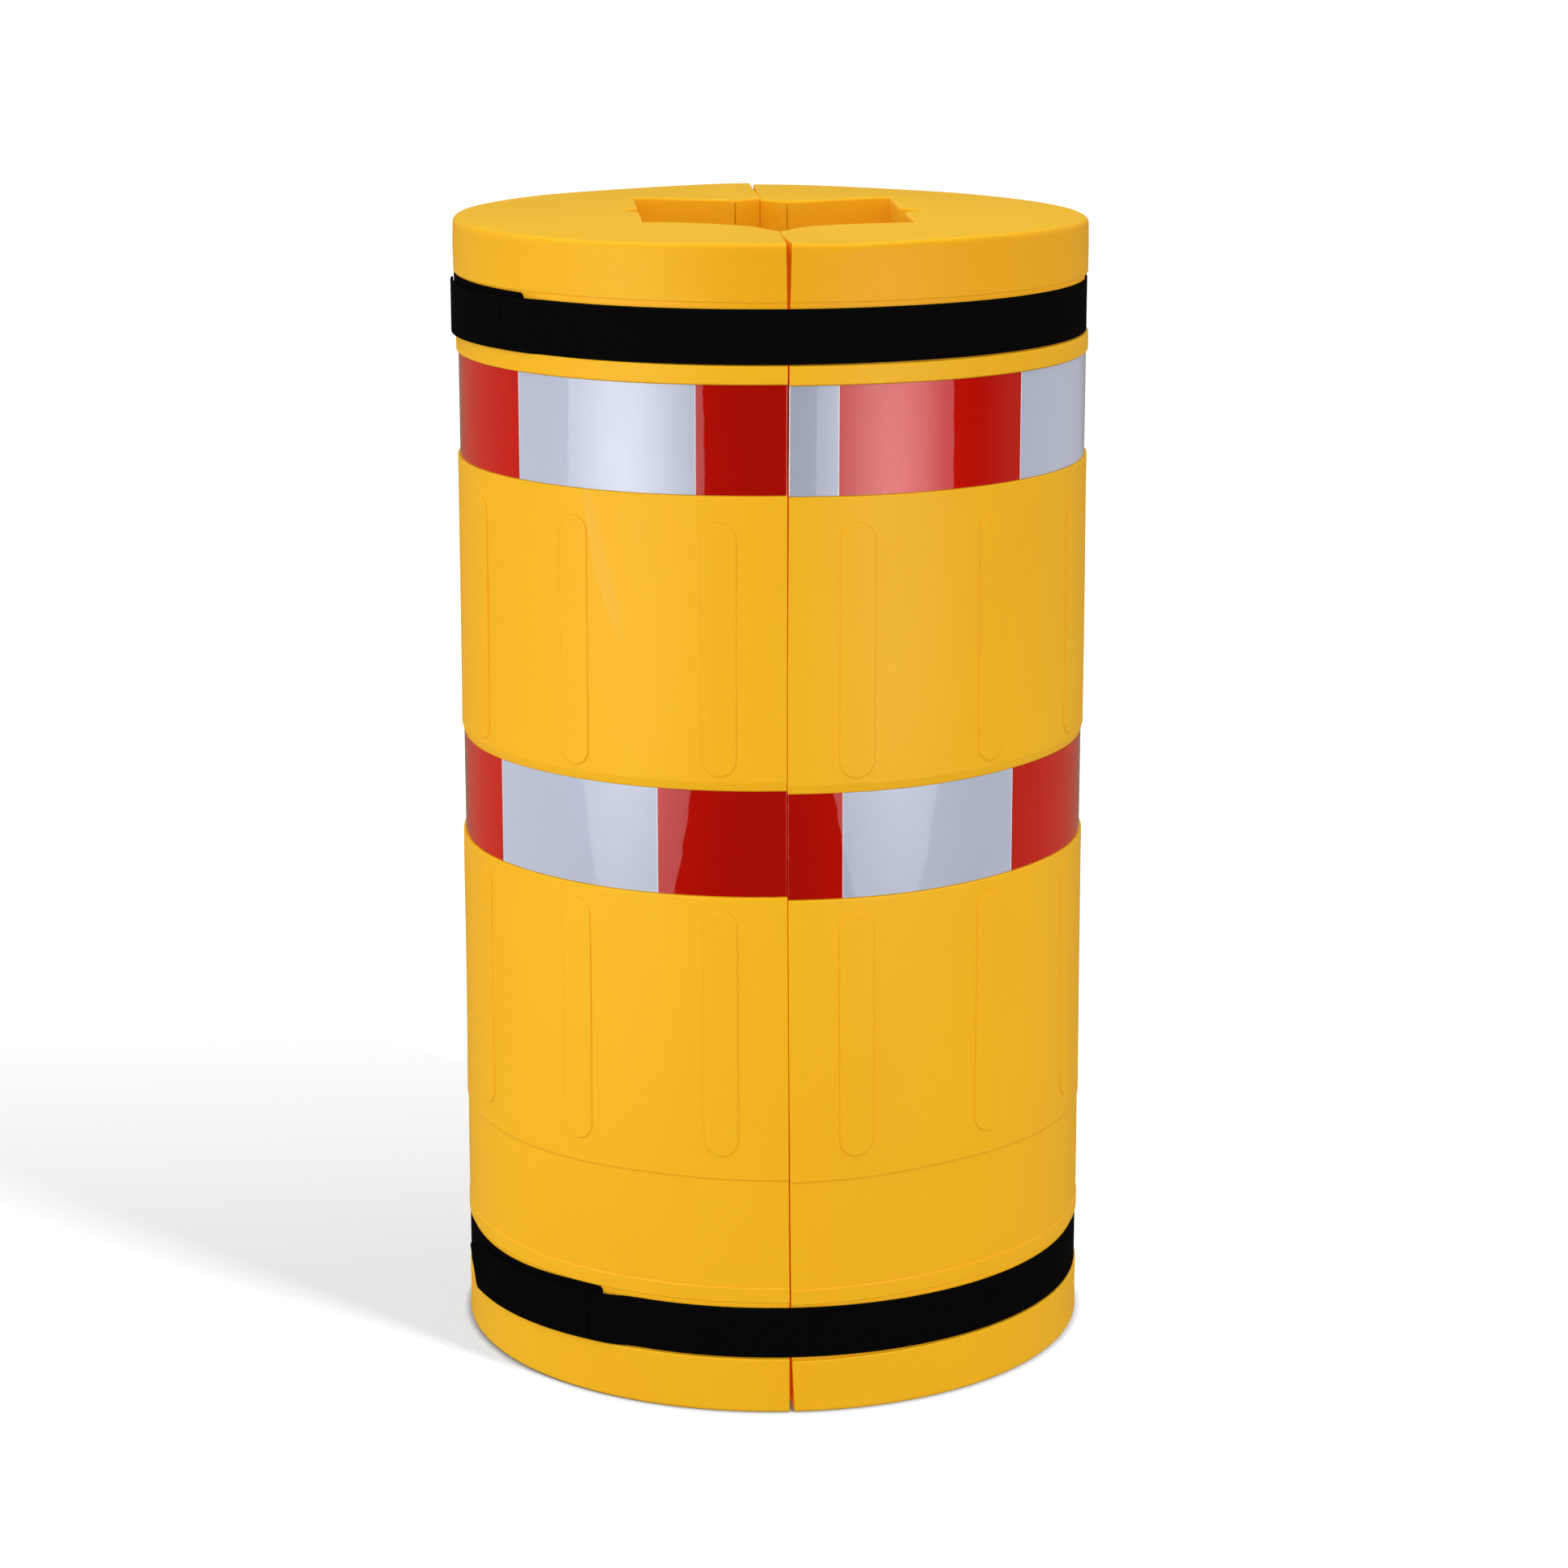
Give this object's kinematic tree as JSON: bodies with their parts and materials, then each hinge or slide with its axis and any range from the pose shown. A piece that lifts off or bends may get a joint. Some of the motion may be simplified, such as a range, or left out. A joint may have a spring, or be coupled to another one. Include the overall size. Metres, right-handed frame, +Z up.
{
  "type": "column protector",
  "caption": "Round moulded plastic guard in half shells that close around a square building column, with reflective tape bands and hook-and-loop straps.",
  "frame": {"origin": "on the floor, on the axis of the column that the halves enclose", "axes": "+Z up along the column, +X from the left half to the right half, -Y to the front seam"},
  "size_m": [0.6201, 0.62, 1.11],
  "materials": {
    "shell": "satin moulded polyethylene, safety yellow",
    "red_tape": "glossy retroreflective film, red",
    "white_tape": "glossy retroreflective film, cool white",
    "webbing": "black twill loop webbing",
    "hook": "black nylon hook tape",
    "thread": "black polyester thread"
  },
  "bodies": {
    "left_half": {"left_shell": "shell", "upper_left_red_tape": "red_tape", "upper_left_white_tape": "white_tape", "lower_left_red_tape": "red_tape", "lower_left_white_tape": "white_tape"},
    "right_half": {"right_shell": "shell", "upper_right_red_tape": "red_tape", "upper_right_white_tape": "white_tape", "lower_right_red_tape": "red_tape", "lower_right_white_tape": "white_tape", "upper_strap_right_run": "webbing", "lower_strap_right_run": "webbing"},
    "upper_front_arm": {"upper_strap_front_arm": "webbing", "upper_strap_hook_patch": "hook", "upper_strap_stitching": "thread"},
    "upper_back_arm": {"upper_strap_back_arm": "webbing"},
    "upper_pull_tab": {"upper_strap_pull_tab": "webbing"},
    "lower_front_arm": {"lower_strap_front_arm": "webbing", "lower_strap_hook_patch": "hook", "lower_strap_stitching": "thread"},
    "lower_back_arm": {"lower_strap_back_arm": "webbing"},
    "lower_pull_tab": {"lower_strap_pull_tab": "webbing"}
  },
  "joints": [
    {"name": "right_half_slide", "type": "slide", "parent": "left_half", "child": "right_half", "axis": [1, 0, 0], "range_m": [0, 0.4]},
    {"name": "upper_front_arm_swing", "type": "hinge", "parent": "right_half", "child": "upper_front_arm", "pos_m": [0, -0.30522, 1.0263], "axis": [0, 0, 1], "range_deg": [0, 120.6]},
    {"name": "upper_back_arm_swing", "type": "hinge", "parent": "right_half", "child": "upper_back_arm", "pos_m": [0, 0.30522, 1.0263], "axis": [0, 0, -1], "range_deg": [0, 94.4]},
    {"name": "upper_tab_peel", "type": "hinge", "parent": "upper_front_arm", "child": "upper_pull_tab", "pos_m": [-0.30855, -0.01276, 1.0263], "axis": [0, 0, 1], "range_deg": [0, 140]},
    {"name": "lower_front_arm_swing", "type": "hinge", "parent": "right_half", "child": "lower_front_arm", "pos_m": [0, -0.30852, 0.08], "axis": [0, 0, 1], "range_deg": [0, 119.4]},
    {"name": "lower_back_arm_swing", "type": "hinge", "parent": "right_half", "child": "lower_back_arm", "pos_m": [0, 0.30852, 0.08], "axis": [0, 0, -1], "range_deg": [0, 93.4]},
    {"name": "lower_tab_peel", "type": "hinge", "parent": "lower_front_arm", "child": "lower_pull_tab", "pos_m": [-0.28901, -0.11788, 0.08], "axis": [0, 0, 1], "range_deg": [0, 140]}
  ],
  "couplings": [
    {"joint": "upper_front_arm_swing", "follows": "right_half_slide", "rad_per_m": 5.2422},
    {"joint": "upper_back_arm_swing", "follows": "right_half_slide", "rad_per_m": 4.0954},
    {"joint": "lower_front_arm_swing", "follows": "right_half_slide", "rad_per_m": 5.186},
    {"joint": "lower_back_arm_swing", "follows": "right_half_slide", "rad_per_m": 4.0516}
  ]
}
